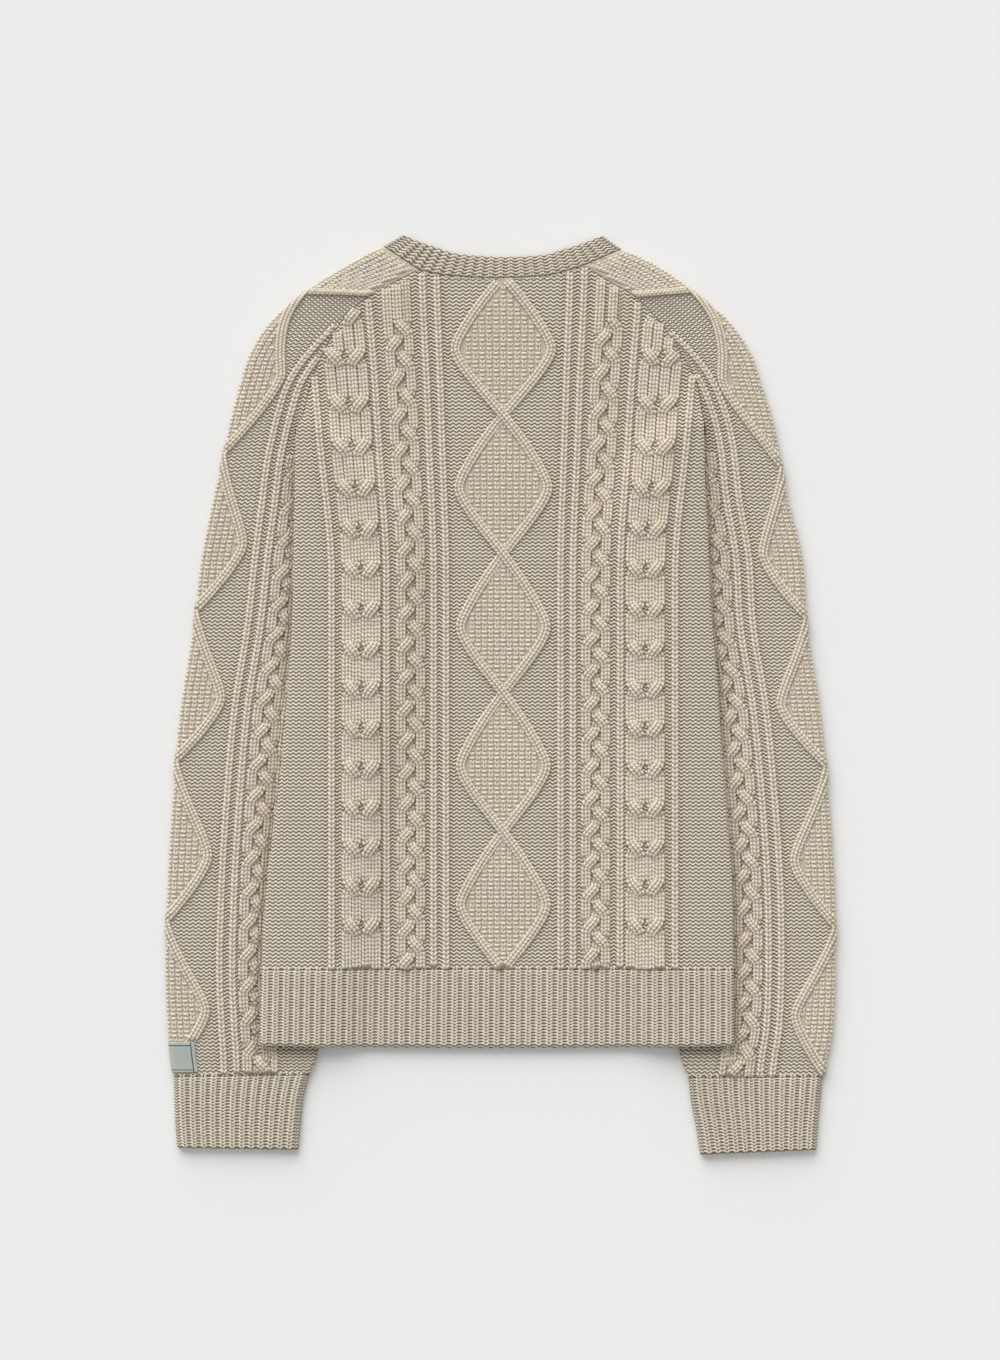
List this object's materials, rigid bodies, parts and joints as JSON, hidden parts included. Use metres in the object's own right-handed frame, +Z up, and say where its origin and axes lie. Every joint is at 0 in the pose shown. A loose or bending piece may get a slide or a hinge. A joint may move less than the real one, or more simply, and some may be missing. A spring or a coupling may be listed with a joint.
{
  "type": "cable knit sweater",
  "caption": "Crew-neck raglan sweater in chunky cable knit, laid flat with its back up and its sleeves drawn down and tucked under the body",
  "frame": {"origin": "middle of the footprint, on the surface that the sweater lies on", "axes": "+Z up out of the surface, +Y from the hem to the neck, +X to the right when the back is seen from above"},
  "size_m": [0.5696, 0.7826, 0.0166],
  "materials": {
    "wool": "chunky cable knit, oatmeal beige",
    "patch": "plain woven patch, pale grey green"
  },
  "bodies": {
    "root": {"back_panel": "wool", "front_panel": "wool", "left_sleeve": "wool", "right_sleeve": "wool", "neck_rib": "wool", "hem_rib_back": "wool", "hem_rib_front": "wool", "left_cuff": "wool", "right_cuff": "wool", "sleeve_patch": "patch"}
  },
  "joints": []
}
